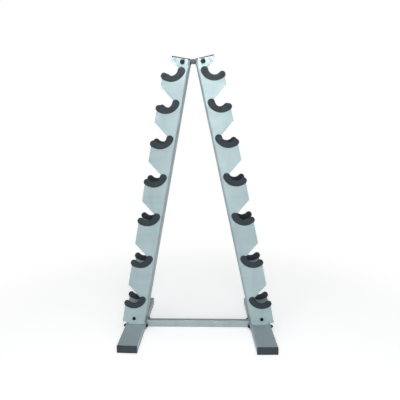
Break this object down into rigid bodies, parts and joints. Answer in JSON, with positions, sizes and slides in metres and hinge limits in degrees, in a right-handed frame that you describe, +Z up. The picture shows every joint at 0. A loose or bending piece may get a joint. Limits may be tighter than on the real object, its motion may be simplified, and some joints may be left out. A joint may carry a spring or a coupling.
{
  "type": "dumbbell rack",
  "caption": "free-standing A-frame rack whose two folded-sheet uprights hold pairs of dumbbells by the handle in covered hook cradles, one above another",
  "frame": {"origin": "on the floor, in the middle of the rack between its two feet", "axes": "+X to the right seen from the front, +Y to the rear, +Z up"},
  "size_m": [0.6302, 0.4724, 1.1125],
  "materials": {
    "silver_paint": "smooth silver blue-grey powder coat, satin",
    "base_paint": "silver blue-grey powder coat, semi-gloss",
    "cradle_rubber": "dark slate moulded rubber, matt",
    "cap_plastic": "dark slate moulded plastic, fine grain",
    "black_fasteners": "black oxide steel",
    "zinc_sleeve": "zinc-plated steel",
    "dark_link": "dark grey paint, satin"
  },
  "bodies": {
    "root": {"crossbar": "base_paint", "flange_bolts": "black_fasteners", "flange_nuts": "black_fasteners", "foot_bolts": "black_fasteners", "foot_nuts": "black_fasteners", "foot_washers": "black_fasteners", "front_top_link": "dark_link", "left_crossbar_end_plate": "base_paint", "left_foot_bracket": "base_paint", "left_foot_tube": "base_paint", "left_front_cradle_1": "cradle_rubber", "left_front_cradle_2": "cradle_rubber", "left_front_cradle_3": "cradle_rubber", "left_front_cradle_4": "cradle_rubber", "left_front_cradle_5": "cradle_rubber", "left_front_cradle_6": "cradle_rubber", "left_front_cradle_7": "cradle_rubber", "left_front_end_cap": "cap_plastic", "left_rear_cradle_1": "cradle_rubber", "left_rear_cradle_2": "cradle_rubber", "left_rear_cradle_3": "cradle_rubber", "left_rear_cradle_4": "cradle_rubber", "left_rear_cradle_5": "cradle_rubber", "left_rear_cradle_6": "cradle_rubber", "left_rear_cradle_7": "cradle_rubber", "left_rear_end_cap": "cap_plastic", "left_top_cap": "cap_plastic", "left_upright": "silver_paint", "rear_top_link": "dark_link", "right_crossbar_end_plate": "base_paint", "right_foot_bracket": "base_paint", "right_foot_tube": "base_paint", "right_front_cradle_1": "cradle_rubber", "right_front_cradle_2": "cradle_rubber", "right_front_cradle_3": "cradle_rubber", "right_front_cradle_4": "cradle_rubber", "right_front_cradle_5": "cradle_rubber", "right_front_cradle_6": "cradle_rubber", "right_front_cradle_7": "cradle_rubber", "right_front_end_cap": "cap_plastic", "right_rear_cradle_1": "cradle_rubber", "right_rear_cradle_2": "cradle_rubber", "right_rear_cradle_3": "cradle_rubber", "right_rear_cradle_4": "cradle_rubber", "right_rear_cradle_5": "cradle_rubber", "right_rear_cradle_6": "cradle_rubber", "right_rear_cradle_7": "cradle_rubber", "right_rear_end_cap": "cap_plastic", "right_top_cap": "cap_plastic", "right_upright": "silver_paint", "top_bolts": "black_fasteners", "top_collars": "zinc_sleeve", "top_nuts": "black_fasteners", "top_sleeves": "zinc_sleeve"}
  },
  "joints": []
}
